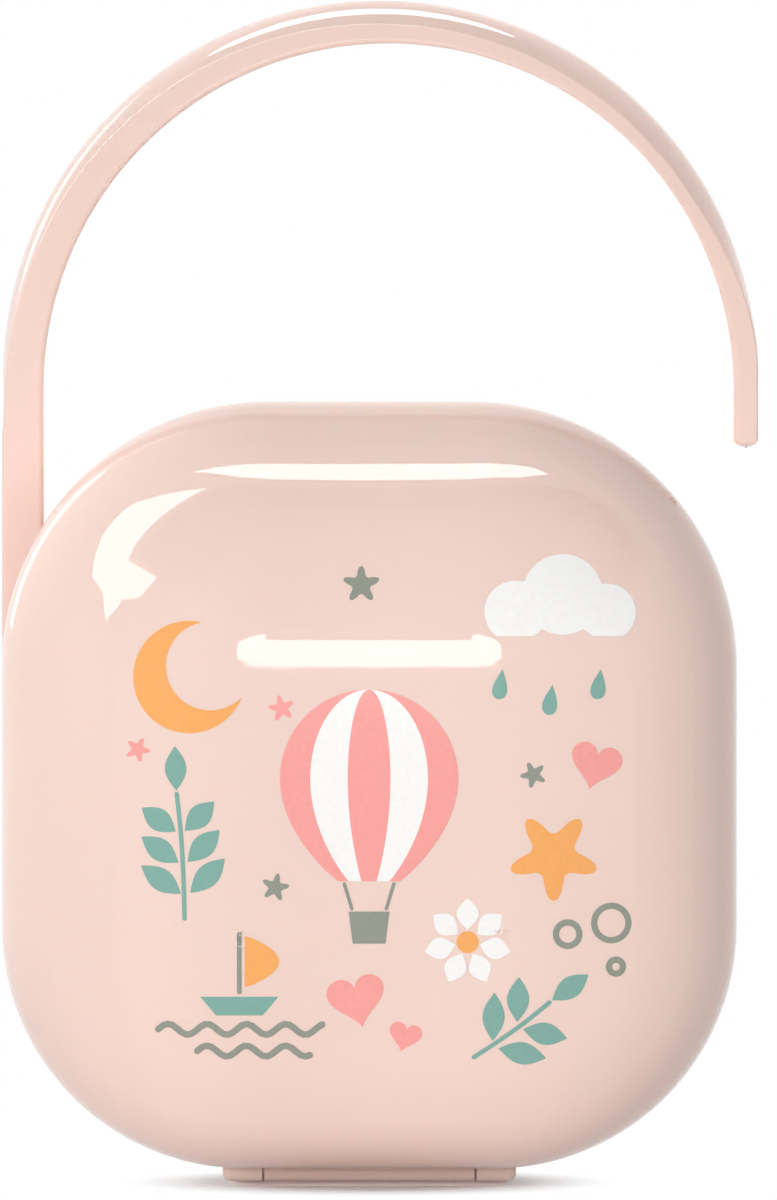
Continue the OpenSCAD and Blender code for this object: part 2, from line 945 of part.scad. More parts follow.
module tray() {
    difference() {
        union() {
            slab(-tray_face, -divider_face)
                difference() {
                    translate([0, tray_z])
                        round_plate(tray_w, tray_h, tray_r);
                    translate([0, shelf_z + window_rise])
                        round_plate(window_w, window_h, slot_w);
                }
            translate([0, -tray_face - shelf_reach, shelf_z]) {
                linear_extrude(tray_t)
                    shelf_outline();
                linear_extrude(tray_t + rail_h)
                    rail_outline();
            }
            for (m = [0, 1])
                mirror([m, 0, 0])
                    bracket();
        }
        peg_places()
            rotate([90, 0, 0])
                cylinder(r = peg_r + rivet_clear, h = 2 * tray_face + 2 * over, center = true);
    }
}

module front_tray() {
    color(tray_white)
        tray();
}

module rear_tray() {
    color(tray_white)
        mirror([0, 1, 0])
            tray();
}

centre_frame();
divider();
front_cover();
rear_cover();
front_seal();
rear_seal();
carry_handle();
handle_rivets();
hinge_foot();
foot_rivets();
foot_pad();
front_hinge_pin();
rear_hinge_pin();
front_tray();
rear_tray();
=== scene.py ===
"""Looks of a hanging soother case: glossy pale pink covers, a hook handle and a generic nursery print."""

import json
import math

import bmesh
import bpy
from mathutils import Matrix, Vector
from mathutils.bvhtree import BVHTree
from mathutils.geometry import barycentric_transform


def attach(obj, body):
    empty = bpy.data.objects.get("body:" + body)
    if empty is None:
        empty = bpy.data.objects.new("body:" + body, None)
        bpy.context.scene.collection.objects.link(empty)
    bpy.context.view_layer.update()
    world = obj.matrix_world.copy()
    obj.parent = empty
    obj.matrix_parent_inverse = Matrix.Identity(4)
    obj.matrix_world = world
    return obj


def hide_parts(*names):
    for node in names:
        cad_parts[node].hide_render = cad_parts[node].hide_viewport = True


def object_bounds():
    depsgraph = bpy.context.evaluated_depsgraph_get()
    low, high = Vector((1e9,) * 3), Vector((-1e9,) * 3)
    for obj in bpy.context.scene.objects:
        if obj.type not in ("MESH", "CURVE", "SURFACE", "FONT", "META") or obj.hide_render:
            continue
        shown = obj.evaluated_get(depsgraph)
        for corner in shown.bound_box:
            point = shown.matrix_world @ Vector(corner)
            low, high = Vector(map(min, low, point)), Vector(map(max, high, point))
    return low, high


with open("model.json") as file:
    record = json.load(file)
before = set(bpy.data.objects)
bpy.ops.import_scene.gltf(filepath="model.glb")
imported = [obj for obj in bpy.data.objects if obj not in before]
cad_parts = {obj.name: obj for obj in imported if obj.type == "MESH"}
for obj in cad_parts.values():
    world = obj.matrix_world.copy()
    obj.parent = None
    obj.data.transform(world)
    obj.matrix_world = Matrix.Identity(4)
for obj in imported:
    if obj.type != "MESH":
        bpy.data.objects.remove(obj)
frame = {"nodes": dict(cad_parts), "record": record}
cad_low, cad_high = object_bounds()
NODES = frame["nodes"]

MM = 0.001
TAU = 2 * math.pi

# ---- Colours, as sRGB hex ----

SHELL = "F7D9CE"
FRAME = "EFCDC2"
# The foot is pink plastic, but this colour is lighter than its own dusky tone: painted light that makes up
# for the shade under the case.
FOOT_WITH_PAINTED_LIGHT = "F2D2C7"
# The pad's colour is raised above its own tone: painted light that offsets the shade under the foot's
# overhang.
PAD_WITH_PAINTED_LIGHT = "FFE8DF"
SILICONE = "F2EEE8"
TRAY = "F6F4F0"
PIN = "EFEBE4"
ORANGE = "FFB060"
TEAL = "80B0A4"
GREY_GREEN = "94998C"
OFF_WHITE = "FFFDFA"
CORAL = "FFA5A0"


def linear(hex_colour):
    """A hex colour as the linear RGBA that shaders take."""
    parts = [int(hex_colour[i : i + 2], 16) / 255 for i in (0, 2, 4)]
    return [c / 12.92 if c <= 0.04045 else ((c + 0.055) / 1.055) ** 2.4 for c in parts] + [1.0]


# ---- Materials ----


class Nodes:
    """Short calls for building one material's node tree."""

    def __init__(self, name):
        self.material = bpy.data.materials.new(name)
        self.material.use_nodes = True
        self.tree = self.material.node_tree
        self.shader = self.tree.nodes["Principled BSDF"]
        self.place = self.tree.nodes.new("ShaderNodeTexCoord").outputs["Object"]

    def noise(self, per_metre, detail=3.0, stretch=None):
        """A noise of so many cells a metre, as a value from 0 to 1."""
        vector = self.place
        if stretch:
            mapping = self.tree.nodes.new("ShaderNodeMapping")
            mapping.inputs["Scale"].default_value = stretch
            self.tree.links.new(vector, mapping.inputs["Vector"])
            vector = mapping.outputs["Vector"]
        texture = self.tree.nodes.new("ShaderNodeTexNoise")
        texture.inputs["Scale"].default_value = per_metre
        texture.inputs["Detail"].default_value = detail
        self.tree.links.new(vector, texture.inputs["Vector"])
        return texture.outputs["Fac"]

    def spread(self, value, low, high):
        """A value from 0.3 to 0.7 spread over low to high."""
        remap = self.tree.nodes.new("ShaderNodeMapRange")
        remap.inputs["From Min"].default_value = 0.3
        remap.inputs["From Max"].default_value = 0.7
        remap.inputs["To Min"].default_value = low
        remap.inputs["To Max"].default_value = high
        self.tree.links.new(value, remap.inputs["Value"])
        return remap.outputs["Result"]

    def blend(self, factor, colour_a, colour_b):
        """A mix of two colours by the value of a socket."""
        mix = self.tree.nodes.new("ShaderNodeMix")
        mix.data_type = "RGBA"
        self.tree.links.new(factor, mix.inputs[0])
        mix.inputs[6].default_value = colour_a
        mix.inputs[7].default_value = colour_b
        return mix.outputs[2]

    def bump(self, height, depth_mm, after=None):
        """A bump of so many millimetres, added after another."""
        node = self.tree.nodes.new("ShaderNodeBump")
        node.inputs["Strength"].default_value = 1.0
        node.inputs["Distance"].default_value = depth_mm * MM
        self.tree.links.new(height, node.inputs["Height"])
        if after:
            self.tree.links.new(after, node.inputs["Normal"])
        return node.outputs["Normal"]

    def set(self, **values):
        """Sets or links the shader's sockets, whose names have _ for a space."""
        for name, value in values.items():
            socket = self.shader.inputs[name.replace("_", " ")]
            if isinstance(value, bpy.types.NodeSocket):
                self.tree.links.new(value, socket)
            else:
                socket.default_value = value
        return self.material


def tint(colour, factor):
    """A linear colour made lighter or darker by a factor."""
    return [min(1.0, c * factor) for c in colour[:3]] + [1.0]


# Plastic smoother than this has no fine grain.
POLISHED = 0.05


def moulded(name, hex_colour, rough, drift=0.02, peel_mm=0.001, glow=0.12):
    """Injection-moulded plastic: faint flow marks in the colour, a skin that waves very slightly,
    and a fine grain on it unless it is polished."""
    n = Nodes(name)
    colour = linear(hex_colour)
    flow = n.noise(28, 2.0, stretch=(1.0, 1.0, 0.45))
    base = n.blend(n.spread(flow, 0.0, 1.0), tint(colour, 1 - drift), tint(colour, 1 + drift))
    haze = n.noise(160, 4.0)
    skin = n.bump(n.noise(95, 1.0), peel_mm * 3)
    if rough > POLISHED:
        skin = n.bump(n.noise(2600, 2.0), peel_mm * rough * 8, after=skin)
    return n.set(
        Base_Color=base,
        Roughness=n.spread(haze, rough * 0.85, rough * 1.2),
        Normal=skin,
        IOR=1.5,
        Subsurface_Weight=glow,
        Subsurface_Radius=(1.0, 0.55, 0.45),
        Subsurface_Scale=2.5 * MM,
    )


def silicone(name, hex_colour, rough=0.5):
    """Silicone: soft and matt, with a fine eroded grain."""
    n = Nodes(name)
    colour = linear(hex_colour)
    base = n.blend(n.spread(n.noise(120), 0.0, 1.0), tint(colour, 0.96), tint(colour, 1.03))
    grain = n.bump(n.noise(3800, 3.0), 0.01)
    return n.set(
        Base_Color=base,
        Roughness=n.spread(n.noise(400), rough * 0.9, rough * 1.15),
        Normal=grain,
        IOR=1.41,
        Subsurface_Weight=0.2,
        Subsurface_Radius=(1.0, 0.8, 0.7),
        Subsurface_Scale=1.5 * MM,
    )


def print_ink(name, hex_colour):
    """Pad-printed ink: dense, with a faint dry grain in its colour and a slightly varied roughness."""
    n = Nodes(name)
    colour = linear(hex_colour)
    grain = n.spread(n.noise(1500, 4.0), 0.0, 1.0)
    base = n.blend(grain, tint(colour, 0.97), tint(colour, 1.03))
    return n.set(
        Base_Color=base,
        Roughness=n.spread(n.noise(700), 0.06, 0.11),
        IOR=1.5,
    )


MATERIALS = {
    "shell_plastic": moulded("shell_plastic", SHELL, 0.02),
    "frame_plastic": moulded("frame_plastic", FRAME, 0.12),
    "foot_plastic": moulded("foot_plastic", FOOT_WITH_PAINTED_LIGHT, 0.22),
    "pad_silicone": silicone("pad_silicone", PAD_WITH_PAINTED_LIGHT),
    "seal_silicone": silicone("seal_silicone", SILICONE),
    "tray_plastic": moulded("tray_plastic", TRAY, 0.32, drift=0.01, peel_mm=0.004, glow=0.25),
    "pin_plastic": moulded("pin_plastic", PIN, 0.28, drift=0.01, glow=0.2),
}

# ---- CAD nodes ----


def dress_nodes():
    """Gives each CAD node its slot's material."""
    for part in frame["record"]["subparts"]:
        mesh = NODES[part["node"]].data
        mesh.materials.clear()
        mesh.materials.append(MATERIALS[part["material_slot"]])


# ---- Handle: the strap with its edges rounded ----

# In millimetres and degrees. The inside, the edges and the crest of the loop are three circles.
STRAP_HALF = 6.5
LEG_LOW_Z = 40.0
LEG_Z = (LEG_LOW_Z + 1, 70.0, 88.0, 96.0, 98.0, 100.0, 102.0)
LEG_END_STEPS = 4
LEG_CROWN_Z, LEG_CROWN_H = 94, 12
LEG_CROWN_LEAD, LEG_CROWN_TURN = 14, 20
TIP_CROWN_TURN = 34
INNER_X, INNER_Z, INNER_R = 2.5, 104.0, 45.0
INNER_DRAFT = 0.75
EDGE_X, EDGE_Z, EDGE_R = 1.05, 103.05, 48.5
CREST_X, CREST_Z, CREST_R = 1.4, 105.5, 49.5
FLAT_CROWN = 0.15
TIP_Z, TIP_H = 96.45, 1.0
TIP_STRAIGHT = 4
TIP_STEPS = 9
TIP_THIN, TIP_NARROW = 0.8, 0.7
EDGE_ROUND = 0.35
INNER_ROUND = 0.8
LOOP_STEPS = 120
CROWN_STEPS = 28


def ray_to_circle(x, z, u, w, cx, cz, r):
    """Distance from x, z along the unit direction u, w to a circle round it."""
    along = (cx - x) * u + (cz - z) * w
    off = (cx - x) ** 2 + (cz - z) ** 2 - along**2
    return along + math.sqrt(r * r - off)


def eased(value):
    """A value limited to 0 to 1, with a soft start and end."""
    t = min(max(value, 0.0), 1.0)
    return t * t * (3 - 2 * t)


def turned(before, corner, after, r, steps=4):
    """A corner of a section, rounded by a radius."""
    ends = []
    for other in (before, after):
        run = math.hypot(other[0] - corner[0], other[1] - corner[1])
        ends.append(((other[0] - corner[0]) / run, (other[1] - corner[1]) / run))
    (au, av), (bu, bv) = ends
    bend = math.pi - math.acos(max(-1.0, min(1.0, au * bu + av * bv)))
    cut = r * math.tan(bend / 2)
    points = []
    for i in range(steps + 1):
        t = i / steps
        p, q = cut * (1 - t) ** 2, cut * t**2
        points.append((corner[0] + p * au + q * bu, corner[1] + p * av + q * bv))
    return points


def strap_section(inner, edge, crest, half):
    """The strap's section, as distances out and places front to back. Its inside is drafted and its
    outside crowned."""
    rise = crest - edge
    crown_r = (half**2 + rise**2) / (2 * rise)
    thick = edge - inner - INNER_DRAFT

    def crown(y):
        """How far out the crown stands at y."""
        return crest - crown_r + math.sqrt(crown_r**2 - y * y)

    arc = [half * (1 - 2 * k / CROWN_STEPS) for k in range(1, CROWN_STEPS)]
    outside = [(crown(y), y) for y in arc]
    low_front, low_back = (inner, -half), (inner + INNER_DRAFT, half)
    front, back = (edge, -half), (edge, half)
    small, large = min(EDGE_ROUND, 0.4 * thick), min(INNER_ROUND, 0.4 * thick)
    section = turned(low_front, low_back, back, large)
    section += turned(low_back, back, outside[0], small)
    section += outside
    section += turned(outside[-1], front, low_front, small)
    section += turned(front, low_front, low_back, large)
    return section


def handle_stations():
    """Places along the strap: its axis' origin and direction, its inside, edge and crest, and its
    half width."""
    left_edge, left_crest = INNER_X - EDGE_X + EDGE_R, INNER_X - CREST_X + CREST_R
    stations = []
    for i in range(LEG_END_STEPS + 1):
        t = math.pi / 2 * (1 - i / LEG_END_STEPS)
        inset = EDGE_ROUND * (1 - math.cos(t))
        z = LEG_LOW_Z + EDGE_ROUND * (1 - math.sin(t))
        high = left_crest - inset
        stations.append((z, -1, 0, INNER_R + inset, high - FLAT_CROWN, high, STRAP_HALF - inset))
    for z in LEG_Z:
        rise = (left_crest - left_edge) * eased((z - LEG_CROWN_Z) / LEG_CROWN_H)
        stations.append((z, -1, 0, INNER_R, left_crest - max(rise, FLAT_CROWN), left_crest, STRAP_HALF))
    for i in range(LOOP_STEPS + 1):
        a = math.pi * (1 - i / LOOP_STEPS)
        u, w = math.cos(a), math.sin(a)
        crest = ray_to_circle(INNER_X, INNER_Z, u, w, CREST_X, CREST_Z, CREST_R)
        edge = ray_to_circle(INNER_X, INNER_Z, u, w, EDGE_X, EDGE_Z, EDGE_R)
        tip_share = eased(math.degrees(a) / TIP_CROWN_TURN)
        leg_share = eased((math.degrees(math.pi - a) + LEG_CROWN_LEAD) / LEG_CROWN_TURN)
        rise = (crest - edge) * tip_share * leg_share
        stations.append((INNER_Z, u, w, INNER_R, crest - max(rise, FLAT_CROWN), crest, STRAP_HALF))
    right_crest = CREST_X + CREST_R - INNER_X
    stations.append((TIP_Z + TIP_STRAIGHT, 1, 0, INNER_R, right_crest - FLAT_CROWN, right_crest, STRAP_HALF))
    half_thick = (right_crest - INNER_R) / 2
    for i in range(TIP_STEPS + 1):
        t = math.pi / 2 * i / TIP_STEPS
        draw_in = half_thick * (1 - math.cos(t)) * TIP_THIN
        half = STRAP_HALF - TIP_NARROW * (1 - math.cos(t))
        z = TIP_Z + TIP_H * (1 - math.sin(t))
        low, high = INNER_R + draw_in, right_crest - draw_in
        stations.append((z, 1, 0, low, high - FLAT_CROWN, high, half))
    return stations


def make_handle():
    """The hook handle: its section swept up the leg, round the loop and down to the free tip."""
    bm = bmesh.new()
    rings = []
    for z, u, w, inner, edge, crest, half in handle_stations():
        ring = []
        for reach, y in strap_section(inner, edge, crest, half):
            ring.append(bm.verts.new(((INNER_X + reach * u) * MM, y * MM, (z + reach * w) * MM)))
        rings.append(ring)
    for a, b in zip(rings, rings[1:]):
        for i in range(len(a)):
            j = (i + 1) % len(a)
            bm.faces.new((a[i], a[j], b[j], b[i]))
    bm.faces.new(rings[0])
    bm.faces.new(rings[-1][::-1])
    bmesh.ops.recalc_face_normals(bm, faces=bm.faces)
    mesh = bpy.data.meshes.new("handle_strap")
    bm.to_mesh(mesh)
    bm.free()
    mesh.polygons.foreach_set("use_smooth", [True] * len(mesh.polygons))
    mesh.materials.append(MATERIALS["shell_plastic"])
    handle = bpy.data.objects.new("handle_strap", mesh)
    bpy.context.scene.collection.objects.link(handle)
    even = handle.modifiers.new("even_faces", "WEIGHTED_NORMAL")
    even.keep_sharp = True
    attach(handle, "case")
    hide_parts("carry_handle")
    return handle


# ---- Print: generic nursery motifs on the front cover ----

# The print's shapes are lists of points in millimetres, seen from the front.

def circle(r, x=0.0, z=0.0, steps=64):
    """A circle round a point."""
    return [(x + r * math.cos(TAU * i / steps), z + r * math.sin(TAU * i / steps)) for i in range(steps)]


def moved(points, x, z, turn=0.0, scale=1.0):
    """Points scaled, turned by an angle in degrees, and moved."""
    c, s = math.cos(math.radians(turn)) * scale, math.sin(math.radians(turn)) * scale
    return [(x + c * u - s * v, z + s * u + c * v) for u, v in points]


def star(r, arms=5, inner=0.5, steps=12):
    """A star with softly rounded arms."""
    points = []
    for i in range(arms * steps):
        a = TAU * i / (arms * steps)
        wave = (1 + math.cos(arms * a)) / 2
        reach = r * (inner + (1 - inner) * wave**1.6)
        points.append((-reach * math.sin(a), reach * math.cos(a)))
    return points


def heart(w, steps=72):
    """A heart of a given width."""
    k = w / 32
    points = []
    for i in range(steps):
        t = TAU * i / steps
        u = 16 * math.sin(t) ** 3
        v = 13 * math.cos(t) - 5 * math.cos(2 * t) - 2 * math.cos(3 * t) - math.cos(4 * t)
        points.append((k * u, k * v))
    return points


def leaf(length, width, steps=20):
    """A pointed leaf from the origin upwards."""
    side = [(width / 2 * math.sin(math.pi * i / steps), length * i / steps) for i in range(1, steps)]
    return [(0, 0)] + side + [(0, length)] + [(-u, v) for u, v in reversed(side)]


def crescent(r, half=0.85, bite=0.42, steps=40):
    """A crescent moon, open to the right."""
    tip_x, tip_z = r * math.cos(half), r * math.sin(half)
    x0 = r * bite
    end = math.atan2(tip_z, tip_x - x0)
    inner_r = math.hypot(tip_x - x0, tip_z)
    points = []
    for i in range(steps + 1):
        a = half + (TAU - 2 * half) * i / steps
        points.append((r * math.cos(a), r * math.sin(a)))
    for i in range(1, steps):
        a = -end - (TAU - 2 * end) * i / steps
        points.append((x0 + inner_r * math.cos(a), inner_r * math.sin(a)))
    return points


def cloud(discs, base, steps=144):
    """The outline of overlapping discs round the origin, cut off flat at a depth below it."""
    points = []
    for i in range(steps):
        u, v = math.cos(TAU * i / steps), math.sin(TAU * i / steps)
        reach = 0.0
        for x, z, r in discs:
            along = x * u + z * v
            room = r * r - x * x - z * z + along * along
            if room > 0:
                reach = max(reach, along + math.sqrt(room))
        if v < 0:
            reach = min(reach, base / -v)
        points.append((reach * u, reach * v))
    return points


def stroke(path, w):
    """A line of points given a width, with round ends."""
    left, right = [], []
    for i, (x, z) in enumerate(path):
        a, b = path[max(i - 1, 0)], path[min(i + 1, len(path) - 1)]
        run = math.hypot(b[0] - a[0], b[1] - a[1])
        nx, nz = (a[1] - b[1]) / run * w / 2, (b[0] - a[0]) / run * w / 2
        left.append((x + nx, z + nz))
        right.append((x - nx, z - nz))

    def cap(centre, start):
        """The half round from one side of an end to the other."""
        a0 = math.atan2(start[1] - centre[1], start[0] - centre[0])
        turns = [a0 - math.pi * k / 6 for k in range(1, 6)]
        return [(centre[0] + w / 2 * math.cos(a), centre[1] + w / 2 * math.sin(a)) for a in turns]

    return left + cap(path[-1], left[-1]) + right[::-1] + cap(path[0], right[0])


COVER = NODES["front_cover"].data
COVER_POINTS = [v.co.copy() for v in COVER.vertices]
COVER_TREE = BVHTree.FromPolygons(COVER_POINTS, [p.vertices[:] for p in COVER.polygons])
INK_LIFT = 0.04 * MM
CUT_PITCH = 1.5


def on_cover(x, z):
    """The point of the front cover's face behind x, z in millimetres, lifted by the ink, and its normal."""
    start = Vector((x * MM, cad_low.y - 20 * MM, z * MM))
    hit, _, face, _ = COVER_TREE.ray_cast(start, Vector((0, 1, 0)))
    corners = [COVER.vertices[i].co for i in COVER.polygons[face].vertices]
    normals = [COVER.corner_normals[i].vector for i in COVER.polygons[face].loop_indices]
    normal = barycentric_transform(hit, *corners, *normals).normalized()
    return hit + normal * INK_LIFT, normal


def cut_to_grid(bm):
    """Cuts a flat mesh along a square grid, so that it can follow the dome."""
    for axis in (0, 1):
        places = [v.co[axis] for v in bm.verts]
        step = math.floor(min(places) / CUT_PITCH) + 1
        while step * CUT_PITCH < max(places):
            where, normal = Vector((0, 0, 0)), Vector((0, 0, 0))
            where[axis], normal[axis] = step * CUT_PITCH, 1
            everything = bm.verts[:] + bm.edges[:] + bm.faces[:]
            bmesh.ops.bisect_plane(bm, geom=everything, plane_co=where, plane_no=normal)
            step += 1


def printed(name, ink, *loops):
    """One printed shape: closed loops on the cover's face, of which the later ones are holes."""
    curve = bpy.data.curves.new(name, "CURVE")
    curve.dimensions = "2D"
    curve.fill_mode = "BOTH"
    for points in loops:
        spline = curve.splines.new("POLY")
        spline.points.add(len(points) - 1)
        for point, (x, z) in zip(spline.points, points):
            point.co = (x, z, 0, 1)
        spline.use_cyclic_u = True
    outline = bpy.data.objects.new(name + "_outline", curve)
    bpy.context.scene.collection.objects.link(outline)
    mesh = bpy.data.meshes.new_from_object(outline)
    bpy.data.objects.remove(outline)
    bm = bmesh.new()
    bm.from_mesh(mesh)
    bmesh.ops.remove_doubles(bm, verts=bm.verts, dist=0.001)
    cut_to_grid(bm)
    normals = []
    for v in bm.verts:
        v.co, normal = on_cover(v.co.x, v.co.y)
        normals.append(normal)
    bmesh.ops.recalc_face_normals(bm, faces=bm.faces)
    if sum(f.normal.y for f in bm.faces) > 0:
        bmesh.ops.reverse_faces(bm, faces=bm.faces)
    for f in bm.faces:
        f.smooth = True
    bm.to_mesh(mesh)
    bm.free()
    mesh.normals_split_custom_set_from_vertices(normals)
    mesh.materials.append(ink)
    piece = bpy.data.objects.new(name, mesh)
    bpy.context.scene.collection.objects.link(piece)
    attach(piece, "front_lid")
    return piece


INKS = {
    name: print_ink("ink_" + name, hex_colour)
    for name, hex_colour in {
        "orange": ORANGE,
        "teal": TEAL,
        "grey": GREY_GREEN,
        "white": OFF_WHITE,
        "coral": CORAL,
    }.items()
}


def print_sprig(name, x, z, turn, pairs, ink, size=1.0):
    """A stem with pairs of leaves and one at its tip."""
    rise = 4.2
    top = rise * (pairs + 1)

    def put(part, points):
        """Prints one part of the sprig at its place."""
        printed(f"{name}_{part}", ink, moved(points, x, z, turn, size))

    put("stem", stroke([(0.5 * math.sin(2.2 * i / 12), top * i / 12) for i in range(13)], 0.6))
    for i in range(pairs):
        for side, word in ((-1, "right"), (1, "left")):
            shape = leaf(6.6 - 0.5 * i, 3.0)
            put(f"{word}_{i}", moved(shape, 0.45 - 0.62 * side, rise * (i + 0.8), side * 50))
    put("tip", moved(leaf(6.0, 2.9), 0.4, top + 0.45, -3))


def print_balloon(x, z, r):
    """A striped balloon with a basket on two ropes."""
    neck_drop = 0.3 * r
    mouth = 0.86 * math.pi
    steps = 36
    seams = (-1.0, -0.66, -0.24, 0.24, 0.66, 1.0)

    def seam(share):
        """A seam from the crown to the mouth, at a share of the balloon's width."""
        points = []
        for i in range(steps + 1):
            t = mouth * i / steps
            low = max(0.0, -math.cos(t))
            u = share * r * math.sin(t) * (1 - 0.25 * low**3)
            points.append((x + u, z + r * math.cos(t) - neck_drop * low**2))
        return points

    for i, (a, b) in enumerate(zip(seams, seams[1:])):
        ink = INKS["coral"] if i % 2 == 0 else INKS["white"]
        printed(f"balloon_gore_{i}", ink, seam(a)[::-1] + seam(b)[1:])
    foot_x, foot_z = seam(1.0)[-1]
    basket_w, basket_h, hang = 0.46 * r, 0.36 * r, 0.34 * r
    top_z = foot_z - hang
    for side, word in ((-1, "left"), (1, "right")):
        rope = [(x + side * (foot_x - x) * 0.8, foot_z - 0.35), (x + side * basket_w * 0.42, top_z + 0.35)]
        printed(f"balloon_rope_{word}", INKS["grey"], stroke(rope, 0.45))
    basket = [
        (x - basket_w / 2, top_z),
        (x + basket_w / 2, top_z),
        (x + basket_w * 0.4, top_z - basket_h),
        (x - basket_w * 0.4, top_z - basket_h),
    ]
    printed("balloon_basket", INKS["grey"], basket)


def drop(r, steps=40):
    """A raindrop with its point up."""
    points = []
    for i in range(steps):
        t = TAU * i / steps
        points.append((r * math.sin(t) * math.sin(t / 2) ** 1.4, -1.45 * r * -math.cos(t)))
    return points


def print_daisy(x, z, r, petals=7):
    """A daisy: white petals round an orange eye."""
    for i in range(petals):
        petal = moved(leaf(0.74 * r, 0.52 * r), 0, 0.3 * r)
        printed(f"daisy_petal_{i}", INKS["white"], moved(petal, x, z, 360 * i / petals))
    printed("daisy_eye", INKS["orange"], circle(0.26 * r, x, z, 32))


def print_boat(x, z, w):
    """A toy boat with one bellied sail."""
    deck, keel = 0.5 * w, 0.3 * w
    hull = [(-deck, 0), (-keel, -0.24 * w), (keel, -0.24 * w), (deck, 0)]
    printed("boat_hull", INKS["teal"], moved(hull, x, z))
    printed("boat_mast", INKS["grey"], moved(stroke([(0, 0.06 * w), (0, 0.8 * w)], 0.06 * w), x, z))
    sail = []
    for i in range(25):
        belly = math.sin(math.pi * i / 24) ** 0.8
        sail.append((0.07 * w + 0.44 * w * belly, (0.12 + 0.66 * i / 24) * w))
    printed("boat_sail", INKS["orange"], moved(sail, x, z))


def make_print():
    """A balloon, a cloud with rain, a moon, a boat, a daisy, stars, hearts, sprigs and rings."""
    print_balloon(0.0, 53.5, 11.4)
    puffs = [(-6.2, -0.8, 4.3), (0.4, 1.6, 5.6), (6.6, -0.9, 4.0)]
    printed("cloud", INKS["white"], moved(cloud(puffs, 4.2), 24.4, 75.6, scale=0.92))
    for i, (x, z) in enumerate([(16.8, 65.6), (23.2, 63.6), (29.4, 65.6)]):
        printed(f"rain_{i}", INKS["teal"], moved(drop(1.35), x, z, -8))
    printed("moon", INKS["orange"], moved(crescent(7.2), -23.0, 66.5, 28))
    for i, (x, z, r, ink) in enumerate(
        [
            (-1.0, 78.3, 2.4, "grey"),
            (-11.2, 62.5, 1.7, "coral"),
            (21.0, 54.0, 1.7, "grey"),
            (23.6, 43.6, 5.8, "orange"),
            (-29.6, 57.2, 1.6, "coral"),
            (-12.0, 39.6, 1.8, "grey"),
        ]
    ):
        printed(f"star_{i}", INKS[ink], moved(star(r), x, z, 12 * i))
    hearts = [(29.0, 55.4, 6.6, -14), (-1.6, 25.4, 7.4, 12), (4.6, 20.6, 4.2, -14)]
    for i, (x, z, w, turn) in enumerate(hearts):
        printed(f"heart_{i}", INKS["coral"], moved(heart(w), x, z, turn))
    for i, (x, z, r) in enumerate([(31.0, 35.0, 2.6), (25.4, 33.6, 1.9), (31.6, 29.4, 1.3)]):
        printed(f"ring_{i}", INKS["grey"], circle(r, x, z), circle(r - 0.8, x, z))
    print_sprig("sprig_left", -23.6, 35.6, 5, 3, INKS["teal"], 0.95)
    print_sprig("sprig_right", 13.4, 17.8, -52, 2, INKS["teal"], 0.95)
    print_daisy(12.6, 32.6, 5.4)
    print_boat(-16.6, 25.6, 10.0)
    for row, (z, x0, count) in enumerate([(21.4, -27.0, 36), (18.6, -22.0, 25)]):
        wave = [(x0 + 0.6 * i, z + 0.7 * math.sin(0.75 * i)) for i in range(count)]
        printed(f"wave_{row}", INKS["grey"], stroke(wave, 0.85))


# ---- Stage ----


def seen_directly(tree, *also):
    """1 for the camera's rays, and for the other kinds of ray that are named."""
    path = tree.nodes.new("ShaderNodeLightPath")
    value = path.outputs["Is Camera Ray"]
    for kind in also:
        either = tree.nodes.new("ShaderNodeMath")
        either.operation = "MAXIMUM"
        tree.links.new(value, either.inputs[0])
        tree.links.new(path.outputs[kind], either.inputs[1])
        value = either.outputs[0]
    return value


# FLOOR_CLEAR is how clear the floor is to the camera next to the foot. From FADE_FROM of the
# way out to SHADOW_HALF it fades to fully clear.
FLOOR_HALF = 2.5
FLOOR_WHITE = 0.93
FLOOR_CLEAR = 0.1
SOLE_HALF = (15 * MM, 7.6 * MM)
SHADOW_HALF = (33 * MM, 34 * MM)
FADE_FROM = 0.4


